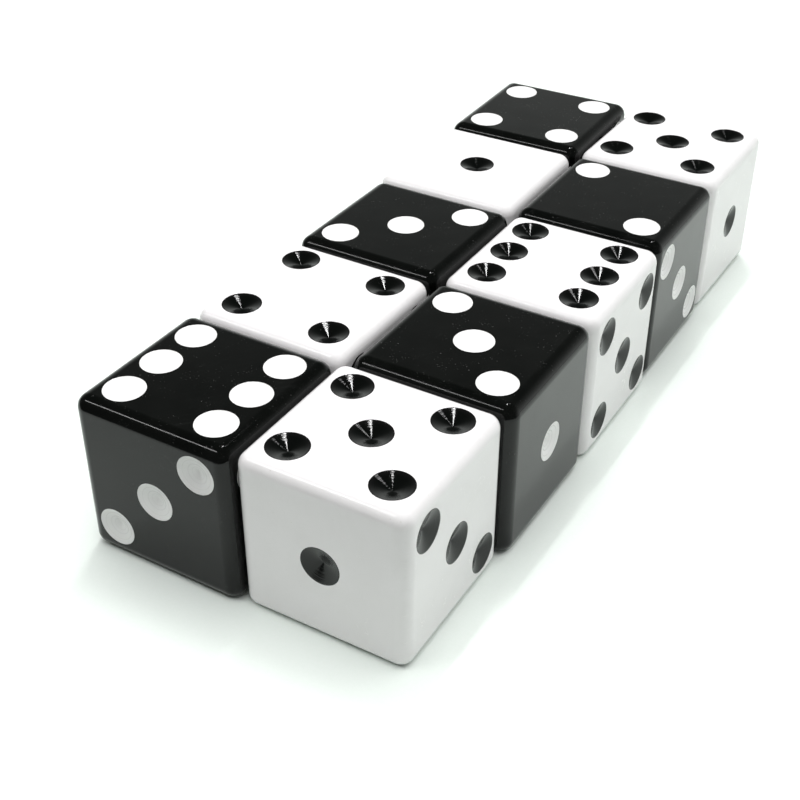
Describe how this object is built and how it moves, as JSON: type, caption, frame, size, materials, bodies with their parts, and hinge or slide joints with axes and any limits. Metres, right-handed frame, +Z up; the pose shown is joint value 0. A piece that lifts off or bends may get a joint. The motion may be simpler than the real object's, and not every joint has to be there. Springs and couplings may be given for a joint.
{
  "type": "dice set",
  "caption": "Loose rounded cube dice with drilled, painted pips, black with white and white with black, laid in a close block; each die tips over onto its next face.",
  "frame": {"origin": "on the surface the dice stand on, under the middle of the block of ten dice", "axes": "+Z up out of the surface, +Y back along the two columns of five dice, +X to the right across the two columns; the dice numbered 1 are at the front (-Y)"},
  "size_m": [0.0515, 0.1276, 0.025],
  "materials": {
    "black_plastic": "polished moulded plastic, fine handling scratches",
    "white_plastic": "polished moulded plastic, fine handling scratches",
    "white_paint": "satin enamel paint in the drilled pips",
    "black_paint": "gloss enamel paint in the drilled pips"
  },
  "bodies": {
    "black_die_1": {"black_die_1_body": "black_plastic", "black_die_1_pips": "white_paint"},
    "white_die_1": {"white_die_1_body": "white_plastic", "white_die_1_pips": "black_paint"},
    "white_die_2": {"white_die_2_body": "white_plastic", "white_die_2_pips": "black_paint"},
    "black_die_2": {"black_die_2_body": "black_plastic", "black_die_2_pips": "white_paint"},
    "black_die_3": {"black_die_3_body": "black_plastic", "black_die_3_pips": "white_paint"},
    "white_die_3": {"white_die_3_body": "white_plastic", "white_die_3_pips": "black_paint"},
    "white_die_4": {"white_die_4_body": "white_plastic", "white_die_4_pips": "black_paint"},
    "black_die_4": {"black_die_4_body": "black_plastic", "black_die_4_pips": "white_paint"},
    "black_die_5": {"black_die_5_body": "black_plastic", "black_die_5_pips": "white_paint"},
    "white_die_5": {"white_die_5_body": "white_plastic", "white_die_5_pips": "black_paint"}
  },
  "joints": [
    {"name": "black_die_1_tumble", "type": "hinge", "parent": "black_die_3", "child": "black_die_1", "pos_m": [-0.02365, -0.0511, 0.002], "axis": [-0.0052, -1, 0], "range_deg": [0, 90]},
    {"name": "white_die_1_tumble", "type": "hinge", "parent": "black_die_3", "child": "white_die_1", "pos_m": [0.02265, -0.05043, 0.002], "axis": [-0.0017, 1, 0], "range_deg": [0, 90]},
    {"name": "white_die_2_tumble", "type": "hinge", "parent": "black_die_3", "child": "white_die_2", "pos_m": [-0.0232, -0.02581, 0.002], "axis": [-0.0087, -1, 0], "range_deg": [0, 90]},
    {"name": "black_die_2_tumble", "type": "hinge", "parent": "black_die_3", "child": "black_die_2", "pos_m": [0.02365, -0.02512, 0.002], "axis": [0.0017, 1, 0], "range_deg": [0, 90]},
    {"name": "white_die_3_tumble", "type": "hinge", "parent": "black_die_3", "child": "white_die_3", "pos_m": [0.0238, 0.00029, 0.002], "axis": [-0.0035, 1, 0], "range_deg": [0, 90]},
    {"name": "white_die_4_tumble", "type": "hinge", "parent": "black_die_3", "child": "white_die_4", "pos_m": [-0.02345, 0.02509, 0.002], "axis": [0.0052, -1, 0], "range_deg": [0, 90]},
    {"name": "black_die_4_tumble", "type": "hinge", "parent": "black_die_3", "child": "black_die_4", "pos_m": [0.02325, 0.02562, 0.002], "axis": [-0.0017, 1, 0], "range_deg": [0, 90]},
    {"name": "black_die_5_tumble", "type": "hinge", "parent": "black_die_3", "child": "black_die_5", "pos_m": [-0.02355, 0.05057, 0.002], "axis": [0.0175, -0.9998, 0], "range_deg": [0, 90]},
    {"name": "white_die_5_tumble", "type": "hinge", "parent": "black_die_3", "child": "white_die_5", "pos_m": [0.0232, 0.05114, 0.002], "axis": [0.0105, 0.9999, 0], "range_deg": [0, 90]}
  ]
}
